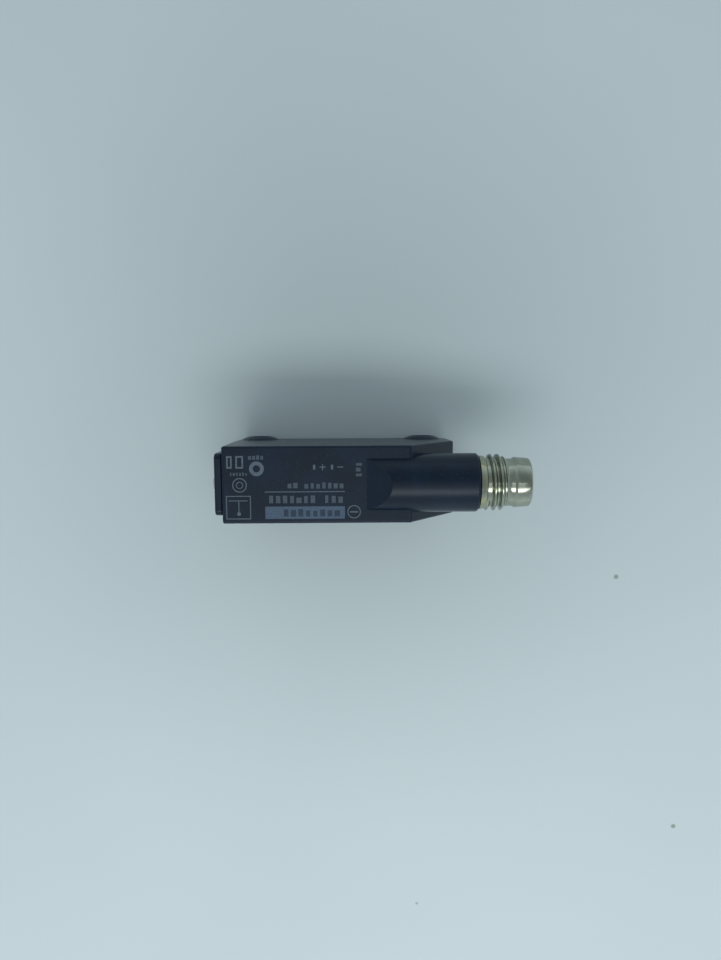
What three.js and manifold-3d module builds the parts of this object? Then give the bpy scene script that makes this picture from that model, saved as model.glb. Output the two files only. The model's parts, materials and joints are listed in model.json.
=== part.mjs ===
// Miniature through-beam photoelectric emitter with an M8 plug connector.
// Millimetres. The sensor lies on its optical face: +X runs to the connector, Y is the width,
// +Z runs from the optical face up to the back face. The origin is the bottom centre.
// In the dimensions and shapes below x starts at the indicator end; the whole is centred last.
import * as THREE from "three";
import { mergeVertices } from "three/addons/utils/BufferGeometryUtils.js";
import Module from "manifold-3d";

const wasm = await Module();
wasm.setup();

// ---------------------------------------------------------------- driving dimensions
const HOUSING_LENGTH = 32.8; // indicator end to connector end
const HOUSING_DEPTH = 20; // optical face to back face
const BACK_WIDTH = 10.65; // back face
const MID_WIDTH = 10.8; // at half depth, where the mould parts
const FRONT_WIDTH = 10.6; // optical face
const WIDTH_OVER_BOSSES = 11.6;

const SLOPE_START_X = 25.9; // the back face ends here and falls to the connector end
const SLOPE_END_Z = 10.7;
const FRONT_CORNER_R = 2.6;
const SMALL_EDGE_R = 0.4;

const HOLE_PITCH = 25.4; // between the two mounting holes
const HOLE_X = 3.3; // first hole, from the indicator end
const HOLE_Z = 3.2; // above the optical face
const HOLE_R = 1.6; // clears an M3 screw
const BOSS_BASE_R = 3.0;
const BOSS_TOP_R = 2.0;

const AXIS_Z = 18; // connector axis above the optical face
const BARREL_R = 4.08; // its crown stands proud of the back face
const BARREL_END_X = 35.2;
const BARREL_BORE_R = 3.5;
const BARREL_BORE_X = 28.8; // the bore's blind end
const WIRE_WAY_R = 2.6; // from the bore to the board bay
const RAMP_START_X = 19.78; // a ramp rises from the back face to the barrel's crown
const RAMP_END_X = 23.25;

const SHELL_START_X = 31.5; // metal sleeve, inside the barrel
const SHELL_END_X = 42.3;
const SHELL_BORE_R = 2.9;
const THREAD_R = 3.94; // M8 x 1
const THREAD_ROOT_R = 3.34;
const THREAD_PITCH = 1.0;
const THREAD_ZERO_X = 35.9; // the helix is counted in turns from here, on the +Y side
const THREAD_TURNS = [0.3, 3.4];
const THREAD_CHAMFER_X = [38.3, 39.02]; // the crest is turned away between these
const COLLAR_R = 3.51;

const LENS_WELL_X = [7.2, 24.8];
const LENS_WELL_HALF_WIDTH = 4.0;
const BAY_HALF_WIDTH = 3.8; // circuit board bay, cored from the indicator end
const BAY_LOW_Z = 8.4;
const BAY_HIGH_Z = 18.4;
const BAY_STEP_Z = 16.6; // the bay is lower past the step, below the barrel
const BAY_STEP_X = 18.3;
const BAY_END_X = 26.8;
const WINDOW_X = [6.7, 25.3];
const WINDOW_HALF_WIDTH = 4.4;
const WINDOW_Z = [0.3, 1.45];
const SEAT_GAP = 0.1; // between a fitted piece and its seat

const CAP_PROUD = 1.14; // the end cap stands this far out of the housing
const CAP_HALF_WIDTH = 4.32;
const CAP_Z = [7.4, 19.4];
const PIPE_PROUD = 0.7; // the light pipe's dome stands this far out of the cap
const PIPE_R = 1.2;
const PIPE_Z = 16.4;

const BOARD_HALF_THICKNESS = 0.4; // the board stands on the mid plane
const BOARD_X = [1.9, 25.8];
const BOARD_Z = [9.3, 17.9];
const BOARD_STEP_X = 18; // the board is lower past here
const BOARD_STEP_Z = 16.1;
const OPTIC_X = 12.6; // beam axis
const LENS_FLANGE_Z = [2.15, 2.75];
const LENS_R = 2.9;
const LED_BASE_Z = 9.0;
const LED_R = 1.5;
const LED_LEAD_Y = 0.66; // the two leads straddle the board

const CARRIER_FACE_X = 35.9; // the insulator the contacts stand in
const PIN_R = 0.5;
const PIN_TIP_X = 41;
const PIN_PLACES = [
  // y and z from the connector axis
  [-1.5, -0.75],
  [-0.9, 1.2],
  [1.5, -0.75],
  [0.9, 1.2],
];

const MIDDLE_X = (SHELL_END_X - CAP_PROUD - PIPE_PROUD) / 2;

// ---------------------------------------------------------------- solids
function solidOf(geometry) {
  const loose = geometry.index ? geometry.toNonIndexed() : geometry;
  loose.deleteAttribute("normal");
  loose.deleteAttribute("uv");
  const merged = mergeVertices(loose, 1e-4);
  const corners = merged.index.array;
  const kept = [];
  for (let i = 0; i < corners.length; i += 3) {
    const [a, b, c] = corners.slice(i, i + 3);
    if (a !== b && b !== c && c !== a) kept.push(a, b, c);
  }
  return new wasm.Manifold(
    new wasm.Mesh({
      numProp: 3,
      vertProperties: merged.attributes.position.array,
      triVerts: new Uint32Array(kept),
    }),
  );
}

function geometryOf(solid) {
  const mesh = solid.getMesh();
  const places = new Float32Array(mesh.numVert * 3);
  for (let i = 0; i < mesh.numVert; i++) {
    const first = i * mesh.numProp;
    places.set(mesh.vertProperties.subarray(first, first + 3), i * 3);
  }
  const shared = new THREE.BufferGeometry();
  shared.setAttribute("position", new THREE.BufferAttribute(places, 3));
  shared.setIndex(new THREE.BufferAttribute(mesh.triVerts, 1));
  const geometry = shared.toNonIndexed();
  geometry.computeVertexNormals();
  return geometry;
}

const join = (first, ...others) => others.reduce((whole, piece) => whole.add(piece), first);
const cut = (first, ...tools) => tools.reduce((left, tool) => left.subtract(tool), first);

// A closed outline through corners [a, b, radius]; a corner with no radius is sharp.
function outline(corners, arcSteps = 3) {
  const points = [];
  corners.forEach(([a, b, radius = 0], i) => {
    const here = new THREE.Vector2(a, b);
    if (radius === 0) {
      points.push(here);
      return;
    }
    const [beforeA, beforeB] = corners.at(i - 1);
    const [afterA, afterB] = corners[(i + 1) % corners.length];
    const before = new THREE.Vector2(beforeA, beforeB).sub(here).normalize();
    const after = new THREE.Vector2(afterA, afterB).sub(here).normalize();
    const half = before.angleTo(after) / 2;
    const centre = before.clone().add(after).setLength(radius / Math.sin(half)).add(here);
    const tangent = radius / Math.tan(half);
    const start = before.multiplyScalar(tangent).add(here).sub(centre);
    const end = after.multiplyScalar(tangent).add(here).sub(centre);
    const sweep = Math.atan2(start.cross(end), start.dot(end));
    for (let k = 0; k <= arcSteps; k++) {
      const angle = start.angle() + (sweep * k) / arcSteps;
      const arm = new THREE.Vector2(Math.cos(angle), Math.sin(angle)).multiplyScalar(radius);
      points.push(arm.add(centre));
    }
  });
  return new THREE.Shape(points);
}

const rectangle = (a0, a1, b0, b1, radius, arcSteps) =>
  outline([[a0, b0, radius], [a1, b0, radius], [a1, b1, radius], [a0, b1, radius]], arcSteps);

const extruded = (shape, depth, steps = 1) =>
  new THREE.ExtrudeGeometry(shape, { depth, steps, bevelEnabled: false });

// A side outline (x, z), from y0 to y1.
const acrossY = (shape, y0, y1) =>
  solidOf(extruded(shape, y1 - y0).rotateX(Math.PI / 2).translate(0, y1, 0));

// An end outline (y, z), from x0 to x1.
const YZX = new THREE.Matrix4().makeBasis(
  new THREE.Vector3(0, 1, 0),
  new THREE.Vector3(0, 0, 1),
  new THREE.Vector3(1, 0, 0),
);
const alongX = (shape, x0, x1) =>
  solidOf(extruded(shape, x1 - x0).applyMatrix4(YZX).translate(x0, 0, 0));

// A plan outline (x, y), from z0 to z1.
const alongZ = (shape, z0, z1) => solidOf(extruded(shape, z1 - z0).translate(0, 0, z0));

const box = (x0, x1, y0, y1, z0, z1) => alongZ(rectangle(x0, x1, y0, y1), z0, z1);

// A turned piece from a profile of [radius, place along its axis], which starts and ends on the
// axis or closes on itself. The axis is "x", "y" or "z", through the point at.
function turned(profile, axis, segments, at = [0, 0, 0]) {
  const points = profile.map(([radius, along]) => new THREE.Vector2(radius, along));
  const geometry = new THREE.LatheGeometry(points, segments);
  if (axis === "x") geometry.rotateZ(-Math.PI / 2);
  if (axis === "z") geometry.rotateX(Math.PI / 2);
  const solid = solidOf(geometry.translate(...at));
  // A profile drawn the other way round gives a solid that is inside out.
  return solid.volume() > 0 ? solid : turned([...profile].reverse(), axis, segments, at);
}

const rod = (radius, from, to, axis, segments, at) =>
  turned([[0, from], [radius, from], [radius, to], [0, to]], axis, segments, at);

// The profile of a dome that closes a rod of this radius, from base to tip along the axis.
function dome(radius, base, tip, steps) {
  const points = [];
  for (let i = 1; i <= steps; i++) {
    const angle = (i / steps) * (Math.PI / 2);
    const wide = i === steps ? 0 : radius * Math.cos(angle);
    points.push([wide, base + (tip - base) * Math.sin(angle)]);
  }
  return points;
}

// ---------------------------------------------------------------- housing
function bodyBlock() {
  const side = outline(
    [
      [0, 0, FRONT_CORNER_R],
      [HOUSING_LENGTH, 0, FRONT_CORNER_R],
      [HOUSING_LENGTH, SLOPE_END_Z, SMALL_EDGE_R],
      [SLOPE_START_X, HOUSING_DEPTH],
      [0, HOUSING_DEPTH, SMALL_EDGE_R],
    ],
    5,
  );
  const end = outline(
    [
      [-FRONT_WIDTH / 2, 0, SMALL_EDGE_R],
      [FRONT_WIDTH / 2, 0, SMALL_EDGE_R],
      [MID_WIDTH / 2, HOUSING_DEPTH / 2],
      [BACK_WIDTH / 2, HOUSING_DEPTH, SMALL_EDGE_R],
      [-BACK_WIDTH / 2, HOUSING_DEPTH, SMALL_EDGE_R],
      [-MID_WIDTH / 2, HOUSING_DEPTH / 2],
    ],
    2,
  );
  const slab = acrossY(side, -MID_WIDTH, MID_WIDTH);
  return slab.intersect(alongX(end, -1, HOUSING_LENGTH + 1));
}

function mountingBoss(x, side) {
  const foot = FRONT_WIDTH / 2 - 0.4;
  const shoulder = FRONT_WIDTH / 2 + 0.04;
  const top = WIDTH_OVER_BOSSES / 2;
  const profile = [[0, foot], [BOSS_BASE_R, foot], [BOSS_BASE_R, shoulder], [BOSS_TOP_R, top], [0, top]];
  const placed = profile.map(([radius, along]) => [radius, along * side]);
  return turned(placed, "y", 32, [x, 0, HOLE_Z]);
}

function barrel() {
  const edge = 0.3;
  const profile = [
    [0, RAMP_START_X],
    [BARREL_R, RAMP_START_X],
    [BARREL_R, BARREL_END_X - edge],
    [BARREL_R - edge, BARREL_END_X],
    [0, BARREL_END_X],
  ];
  const crown = AXIS_Z + BARREL_R;
  const aboveRamp = outline([
    [RAMP_START_X - 1, HOUSING_DEPTH],
    [RAMP_START_X, HOUSING_DEPTH],
    [RAMP_END_X, crown],
    [RAMP_END_X, crown + 1],
    [RAMP_START_X - 1, crown + 1],
  ]);
  return cut(turned(profile, "x", 48, [0, 0, AXIS_Z]), acrossY(aboveRamp, -BARREL_R - 1, BARREL_R + 1));
}

function housing() {
  let made = join(bodyBlock(), barrel());

  for (const x of [HOLE_X, HOLE_X + HOLE_PITCH]) {
    made = join(made, mountingBoss(x, 1), mountingBoss(x, -1));
    made = cut(made, rod(HOLE_R, -8, 8, "y", 32, [x, 0, HOLE_Z]));
  }

  const seatHalf = WINDOW_HALF_WIDTH + SEAT_GAP;
  const seatPlan = rectangle(WINDOW_X[0] - SEAT_GAP, WINDOW_X[1] + SEAT_GAP, -seatHalf, seatHalf, 0.8);
  const windowSeat = alongZ(seatPlan, -1, WINDOW_Z[1] + 0.45);
  const wellHalf = LENS_WELL_HALF_WIDTH;
  const lensWell = box(...LENS_WELL_X, -wellHalf, wellHalf, 1, BAY_LOW_Z + 0.5);
  const bayHalf = BAY_HALF_WIDTH;
  const lowBay = alongX(rectangle(-bayHalf, bayHalf, BAY_LOW_Z, BAY_STEP_Z, 0.5), -1, BAY_END_X);
  const highBay = alongX(rectangle(-bayHalf, bayHalf, BAY_LOW_Z, BAY_HIGH_Z, 0.5), -1, BAY_STEP_X);
  const sealSeat = alongX(rectangle(-4.1, 4.1, 7.9, 18.9, 0.6), -1, 0.6);
  const axis = [0, 0, AXIS_Z];
  const bore = rod(BARREL_BORE_R, BARREL_BORE_X, BARREL_END_X + 1, "x", 36, axis);
  const wireWay = rod(WIRE_WAY_R, BAY_END_X - 3, BARREL_BORE_X + 0.5, "x", 24, axis);
  return cut(made, windowSeat, lensWell, lowBay, highBay, sealSeat, bore, wireWay);
}

// ---------------------------------------------------------------- optics
function frontWindow() {
  const half = WINDOW_HALF_WIDTH;
  const [x0, x1] = WINDOW_X;
  const plate = alongZ(rectangle(x0, x1, -half, half, 0.7), ...WINDOW_Z);
  const face = alongZ(rectangle(x0 + 0.5, x1 - 0.5, 0.5 - half, half - 0.5, 0.5), 0.1, WINDOW_Z[0] + 0.2);
  return join(plate, face);
}

function windowSeal() {
  const half = WINDOW_HALF_WIDTH;
  const ring = alongZ(rectangle(...WINDOW_X, -half, half, 0.7), WINDOW_Z[1] + 0.05, WINDOW_Z[1] + 0.4);
  return cut(ring, box(WINDOW_X[0] + 0.7, WINDOW_X[1] - 0.7, -3.8, 3.8, 1, 2.5));
}

function collimatingLens() {
  const [low, high] = LENS_FLANGE_Z;
  const profile = [[0, low], [LENS_R + 0.5, low], [LENS_R + 0.5, high], [LENS_R, high]];
  return turned([...profile, ...dome(LENS_R, high, high + 1.75, 7)], "z", 32, [OPTIC_X, 0, 0]);
}

function lensHolder() {
  const top = 8.1;
  let made = alongZ(rectangle(7.5, 24.5, -3.85, 3.85, 0.5), 1.95, top);
  const lightWay = [
    [0, 1],
    [LENS_R + 0.6, 1],
    [LENS_R + 0.6, LENS_FLANGE_Z[1] + 0.1],
    [LENS_R + 0.1, LENS_FLANGE_Z[1] + 0.1],
    [LED_R + 0.25, 6.4],
    [LED_R + 0.25, 9],
    [0, 9],
  ];
  made = cut(made, turned(lightWay, "z", 32, [OPTIC_X, 0, 0]));
  for (const side of [-1, 1]) {
    const [inner, outer] = [0.4, 2.9].map((y) => y * side).sort((a, b) => a - b);
    made = cut(made, alongZ(rectangle(17.8, 23.5, inner, outer, 0.4), 1, 6.9));
    const [near, far] = [0.5, 1.3].map((y) => y * side).sort((a, b) => a - b);
    for (const x of [7.9, 21.5]) made = join(made, box(x, x + 1, near, far, top - 0.3, 9.8));
  }
  return made;
}

function emitterLed() {
  const flangeLow = LED_BASE_Z - 0.8;
  const waist = 6.5;
  const profile = [
    [0, LED_BASE_Z],
    [LED_R + 0.2, LED_BASE_Z],
    [LED_R + 0.2, flangeLow],
    [LED_R, flangeLow],
    [LED_R, waist],
  ];
  return turned([...profile, ...dome(LED_R, waist, waist - LED_R, 5)], "z", 24);
}

const emitterLead = () => box(-0.22, 0.22, -0.22, 0.22, LED_BASE_Z + 0.05, BOARD_Z[0] + 2);

// ---------------------------------------------------------------- circuit board
function circuitBoard() {
  const corners = [
    [BOARD_X[0], BOARD_Z[0], 0.4],
    [BOARD_X[1], BOARD_Z[0], 0.4],
    [BOARD_X[1], BOARD_STEP_Z, 0.4],
    [BOARD_STEP_X, BOARD_STEP_Z, 0.4],
    [BOARD_STEP_X, BOARD_Z[1], 0.4],
    [BOARD_X[0], BOARD_Z[1], 0.4],
  ];
  return acrossY(outline(corners), -BOARD_HALF_THICKNESS, BOARD_HALF_THICKNESS);
}

// Components stand on the plane z = 0, centred on the origin, this far off the board.
const SOLDER_GAP = 0.05;

// A moulded chip whose bent legs come out on two sides.
function chip(length, width, height, legsEachSide, legPitch, legReach) {
  const shoulder = height * 0.5;
  const outer = width / 2 + legReach;
  let made = box(-length / 2, length / 2, -width / 2, width / 2, 0.15, height);
  for (const side of [-1, 1]) {
    const span = (a, b) => [a * side, b * side].sort((p, q) => p - q);
    for (let i = 0; i < legsEachSide; i++) {
      const x = (i - (legsEachSide - 1) / 2) * legPitch;
      const arm = box(x - 0.2, x + 0.2, ...span(width / 2 - 0.3, outer), shoulder, shoulder + 0.2);
      const foot = box(x - 0.2, x + 0.2, ...span(outer - 0.35, outer), SOLDER_GAP, shoulder + 0.2);
      made = join(made, arm, foot);
    }
  }
  return made;
}

// A two-terminal part: a block whose metal ends are a little larger than its body.
function twoTerminal(length, width, height) {
  const end = length * 0.2;
  const block = (x0, x1, inset) =>
    box(x0, x1, inset - width / 2, width / 2 - inset, SOLDER_GAP + inset, SOLDER_GAP + height - inset);
  return join(
    block(-length / 2, end - length / 2, 0),
    block(end / 2 - length / 2, length / 2 - end / 2, 0.03),
    block(length / 2 - end, length / 2, 0),
  );
}

// A side-looking lamp: it shines along -X.
const indicatorLed = () =>
  join(box(-0.3, 0.4, -0.8, 0.8, SOLDER_GAP, 0.95), box(-0.45, 0, -0.5, 0.5, 0.2, 0.8));

// An insulated lead from a contact's tail to the face of the board.
function leadWire([y, z]) {
  const tail = AXIS_Z + z;
  const beside = Math.sign(y) * 0.92;
  const route = new THREE.CatmullRomCurve3([
    new THREE.Vector3(27.1, y, tail),
    new THREE.Vector3(26.2, y, tail),
    new THREE.Vector3(25.0, (y + beside) / 2, tail - 0.5),
    new THREE.Vector3(24.4, beside, tail - 1.5),
    new THREE.Vector3(24.3, beside, tail - 2.6),
  ]);
  const section = new THREE.Shape();
  section.absarc(0, 0, 0.36, 0, 2 * Math.PI);
  const options = { steps: 14, extrudePath: route, curveSegments: 4, bevelEnabled: false };
  return solidOf(new THREE.ExtrudeGeometry(section, options));
}

// ---------------------------------------------------------------- indicator end
function lightPipe() {
  const base = -CAP_PROUD - 0.05;
  const profile = [[0, 1.35], [0.9, 1.35], [0.9, 0.4], [PIPE_R, 0.2], [PIPE_R, base]];
  return turned([...profile, ...dome(PIPE_R, base, -CAP_PROUD - PIPE_PROUD, 5)], "x", 24, [0, 0, PIPE_Z]);
}

function endCap() {
  const bevel = 0.25;
  const half = CAP_HALF_WIDTH;
  const [low, high] = CAP_Z;
  const plate = alongX(rectangle(-half, half, low, high, 0.8), bevel - CAP_PROUD, -0.05);
  const face = rectangle(bevel - half, half - bevel, low + bevel, high - bevel, 0.6);
  const front = alongX(face, -CAP_PROUD, -0.1);
  const plug = alongX(rectangle(-3.6, 3.6, 8.6, 18.2, 0.4), -0.2, 1.25);
  const hollow = alongX(rectangle(-2.9, 2.9, 9.3, 14.6, 0.3), 0.3, 2);
  const pipeHole = rod(PIPE_R + SEAT_GAP, -3, 3, "x", 24, [0, 0, PIPE_Z]);
  return cut(join(plate, front, plug), hollow, pipeHole);
}

function capSeal() {
  const ring = alongX(rectangle(-4.05, 4.05, 7.95, 18.85, 0.6), 0.05, 0.55);
  return cut(ring, alongX(rectangle(-3.68, 3.68, 8.5, 18.3, 0.4), -1, 2));
}

// ---------------------------------------------------------------- connector, about its axis
// The thread is a straight ridge wound into a helix. It fades in at its start and is chamfered
// away at its end.
function threadRidge() {
  const [from, to] = THREAD_TURNS;
  const fadeLength = 0.2; // of a turn
  const sink = 0.25; // the ridge's foot is buried in the sleeve
  const height = THREAD_R - THREAD_ROOT_R;
  const section = outline([
    [-0.42, -sink],
    [0.42, -sink],
    [0.11, height],
    [-0.11, height],
  ]);
  const steps = Math.round((to - from) * 28);
  const geometry = extruded(section, to - from, steps);
  const places = geometry.getAttribute("position");
  for (let i = 0; i < places.count; i++) {
    const turn = from + places.getZ(i);
    const fade = Math.min(1, (turn - from) / fadeLength, (to - turn) / fadeLength);
    const radius = THREAD_ROOT_R - sink + (places.getY(i) + sink) * Math.max(0.02, fade);
    const x = THREAD_ZERO_X + places.getX(i) + turn * THREAD_PITCH;
    const angle = turn * 2 * Math.PI;
    places.setXYZ(i, x, radius * Math.cos(angle), radius * Math.sin(angle));
  }
  const [chamferStart, chamferEnd] = THREAD_CHAMFER_X;
  const envelope = [
    [0, chamferStart - 4],
    [THREAD_R + 0.1, chamferStart - 4],
    [THREAD_R + 0.1, chamferStart - 0.1],
    [THREAD_ROOT_R, chamferEnd],
    [0, chamferEnd],
  ];
  return solidOf(geometry).intersect(turned(envelope, "x", 48));
}

function connectorShell() {
  const rootR = THREAD_ROOT_R;
  const profile = [
    [SHELL_BORE_R, SHELL_START_X],
    [3.4, SHELL_START_X],
    [3.4, 33.4],
    [3.2, 33.6],
    [3.2, 34.4],
    [3.4, 34.6],
    [3.4, BARREL_END_X + 0.05],
    [3.79, BARREL_END_X + 0.05],
    [3.65, 36.08],
    [rootR, 36.25],
    [rootR, 38.92],
    [3.32, 39.02],
    [3.32, 39.96],
    [COLLAR_R, 40.25],
    [3.37, 42.1],
    [3.24, SHELL_END_X],
    [SHELL_BORE_R + 0.08, SHELL_END_X],
    [SHELL_BORE_R, SHELL_END_X - 0.12],
    [SHELL_BORE_R, SHELL_START_X],
  ];
  return join(turned(profile, "x", 48), threadRidge());
}

function contactCarrier() {
  const profile = [
    [0, 29],
    [3.4, 29],
    [3.4, 30.5],
    [2.5, 30.5],
    [2.5, SHELL_START_X + 0.1],
    [SHELL_BORE_R - SEAT_GAP, SHELL_START_X + 0.1],
    [SHELL_BORE_R - SEAT_GAP, CARRIER_FACE_X],
    [0, CARRIER_FACE_X],
  ];
  const key = box(CARRIER_FACE_X - 0.3, 41.1, -0.45, 0.45, -2.7, -2.25);
  const body = join(turned(profile, "x", 36), key);
  const holes = PIN_PLACES.map(([y, z]) => rod(PIN_R + SEAT_GAP, 28, 37, "x", 16, [0, y, z]));
  return cut(body, ...holes);
}

function connectorORing() {
  const profile = [];
  const sides = 10;
  for (let i = 0; i <= sides; i++) {
    const angle = ((i % sides) / sides) * 2 * Math.PI;
    profile.push([3.0 + 0.4 * Math.cos(angle), 31.0 + 0.4 * Math.sin(angle)]);
  }
  return turned(profile, "x", 32);
}

function contactPin() {
  const profile = [
    [0, 27.2],
    [0.3, 27.2],
    [0.3, 28.6],
    [PIN_R, 28.7],
    [PIN_R, PIN_TIP_X - 0.4],
    [PIN_R - 0.1, PIN_TIP_X - 0.15],
    [PIN_R - 0.3, PIN_TIP_X],
    [0, PIN_TIP_X],
  ];
  return turned(profile, "x", 16);
}

// ---------------------------------------------------------------- materials
const material = (color, roughness, metalness = 0) =>
  new THREE.MeshStandardMaterial({ color, roughness, metalness });

const blackPbt = material(0x1b2028, 0.62);
const smokedPlastic = material(0x2a0d12, 0.12);
const clearPlastic = material(0xdfe6e4, 0.1);
const blackRubber = material(0x15161a, 0.85);
const carrierPlastic = material(0x22252a, 0.55);
const nickelPlating = material(0xa9aa9f, 0.28, 1);
const goldPlating = material(0xd2a85a, 0.25, 1);
const tinPlating = material(0xc4c6c8, 0.35, 1);
const greenLaminate = material(0x1f5b3a, 0.45);
const chipEpoxy = material(0x1c1c1e, 0.5);
const tantalumCase = material(0xc98a2b, 0.5);
const ceramic = material(0xa78f6e, 0.5);
const resistorGlaze = material(0x202024, 0.4);
const brownInsulation = material(0x6b3f22, 0.5);
const blueInsulation = material(0x274c8f, 0.5);
const lampBody = material(0xd9dccf, 0.4);

// ---------------------------------------------------------------- assembly
const sensor = new THREE.Group();
sensor.position.x = -MIDDLE_X;

function add(parent, name, solid, look, place = [0, 0, 0], spin = 0) {
  const mesh = new THREE.Mesh(geometryOf(solid), look);
  mesh.name = name;
  mesh.position.set(...place);
  mesh.rotation.z = spin;
  parent.add(mesh);
}

add(sensor, "housing", housing(), blackPbt);
add(sensor, "front_window", frontWindow(), smokedPlastic);
add(sensor, "window_seal", windowSeal(), blackRubber);
add(sensor, "collimating_lens", collimatingLens(), clearPlastic);
add(sensor, "lens_holder", lensHolder(), carrierPlastic);
add(sensor, "emitter_led", emitterLed(), clearPlastic, [OPTIC_X, 0, 0]);
add(sensor, "emitter_lead_anode", emitterLead(), tinPlating, [OPTIC_X, -LED_LEAD_Y, 0]);
add(sensor, "emitter_lead_cathode", emitterLead(), tinPlating, [OPTIC_X, LED_LEAD_Y, 0]);

add(sensor, "light_pipe", lightPipe(), clearPlastic);
add(sensor, "end_cap", endCap(), blackPbt);
add(sensor, "cap_seal", capSeal(), blackRubber);

// Each face of the board is a group whose Z stands off the board.
add(sensor, "circuit_board", circuitBoard(), greenLaminate);
const leftFace = new THREE.Group(); // the +Y face: its Y runs down to the optical face
leftFace.position.y = BOARD_HALF_THICKNESS;
leftFace.rotation.x = -Math.PI / 2;
const rightFace = new THREE.Group(); // the -Y face: its Y runs up to the back face
rightFace.position.y = -BOARD_HALF_THICKNESS;
rightFace.rotation.x = Math.PI / 2;
sensor.add(leftFace, rightFace);

const capacitor = twoTerminal(1.6, 0.8, 0.8);
const resistor = twoTerminal(1.6, 0.8, 0.45);
add(leftFace, "driver_ic", chip(4.9, 3.9, 1.5, 4, 1.27, 0.9), chipEpoxy, [18.1, -12.7, 0]);
add(leftFace, "protection_diode", twoTerminal(2.7, 1.4, 1.1), chipEpoxy, [22.7, -10.7, 0]);
add(leftFace, "tantalum_capacitor", twoTerminal(3.2, 1.6, 1.5), tantalumCase, [8.6, -15.6, 0]);
add(leftFace, "indicator_led", indicatorLed(), lampBody, [2.5, -PIPE_Z, 0]);
add(leftFace, "ceramic_capacitor_1", capacitor, ceramic, [22, -14.4, 0], Math.PI / 2);
add(leftFace, "ceramic_capacitor_2", capacitor, ceramic, [12.6, -15.6, 0]);
add(leftFace, "resistor_1", resistor, resistorGlaze, [4.6, -13.4, 0]);
add(leftFace, "resistor_2", resistor, resistorGlaze, [9.4, -12, 0], Math.PI / 2);
add(rightFace, "voltage_regulator", chip(3, 2.5, 1.5, 3, 1.1, 0.75), chipEpoxy, [6.6, 13.4, 0]);
add(rightFace, "driver_transistor", chip(2, 1.1, 0.95, 2, 1.3, 0.4), chipEpoxy, [16.2, 12, 0]);
add(rightFace, "ceramic_capacitor_3", capacitor, ceramic, [10.4, 14.8, 0]);
add(rightFace, "resistor_3", resistor, resistorGlaze, [19.4, 12, 0], Math.PI / 2);
add(rightFace, "resistor_4", resistor, resistorGlaze, [21.4, 12, 0], Math.PI / 2);
add(sensor, "lead_wire_plus", leadWire(PIN_PLACES[0]), brownInsulation);
add(sensor, "lead_wire_minus", leadWire(PIN_PLACES[2]), blueInsulation);

const connector = new THREE.Group();
connector.position.z = AXIS_Z;
sensor.add(connector);
add(connector, "connector_shell", connectorShell(), nickelPlating);
add(connector, "contact_carrier", contactCarrier(), carrierPlastic);
add(connector, "connector_o_ring", connectorORing(), blackRubber);
const pin = contactPin();
PIN_PLACES.forEach(([y, z], i) => add(connector, `contact_pin_${i + 1}`, pin, goldPlating, [0, y, z]));

export default sensor;
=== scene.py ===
"""A miniature photoelectric emitter with an M8 plug connector, lying on its optical face.

Lengths are in millimetres until a piece is finished. x runs from the indicator end along the
connector, y across the width, and z from the optical face up to the back face.
"""

import json
import math

import bmesh
import bpy
from mathutils import Matrix, Vector


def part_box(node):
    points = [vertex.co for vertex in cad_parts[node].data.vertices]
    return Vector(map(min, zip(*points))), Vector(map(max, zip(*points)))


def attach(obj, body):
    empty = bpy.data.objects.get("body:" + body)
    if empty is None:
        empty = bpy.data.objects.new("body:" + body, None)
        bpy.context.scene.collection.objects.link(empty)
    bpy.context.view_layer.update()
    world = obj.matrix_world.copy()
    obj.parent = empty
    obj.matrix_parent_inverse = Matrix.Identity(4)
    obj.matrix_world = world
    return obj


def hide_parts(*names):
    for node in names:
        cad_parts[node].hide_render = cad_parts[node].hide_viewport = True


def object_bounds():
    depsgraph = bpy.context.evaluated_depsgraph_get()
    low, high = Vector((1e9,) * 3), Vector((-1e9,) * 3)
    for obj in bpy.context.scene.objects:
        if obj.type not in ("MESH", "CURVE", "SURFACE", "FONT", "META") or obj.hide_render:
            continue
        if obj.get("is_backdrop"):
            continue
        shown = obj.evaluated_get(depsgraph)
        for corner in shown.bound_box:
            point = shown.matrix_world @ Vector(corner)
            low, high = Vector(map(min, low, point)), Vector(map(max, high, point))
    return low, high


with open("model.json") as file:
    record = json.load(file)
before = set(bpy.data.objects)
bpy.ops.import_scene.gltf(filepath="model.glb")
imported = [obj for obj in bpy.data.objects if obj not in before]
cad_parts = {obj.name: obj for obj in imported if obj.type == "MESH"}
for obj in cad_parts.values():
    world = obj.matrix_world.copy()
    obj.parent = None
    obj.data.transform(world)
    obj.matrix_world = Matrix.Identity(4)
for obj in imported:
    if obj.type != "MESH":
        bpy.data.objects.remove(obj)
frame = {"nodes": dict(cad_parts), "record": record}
cad_box = [list(corner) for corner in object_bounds()]

MM = 0.001
END_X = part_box("housing")[0].x  # the indicator end of the housing, in metres
TO_METRES = Matrix.Translation((END_X, 0, 0)) @ Matrix.Scale(MM, 4)
scene = bpy.context.scene

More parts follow.
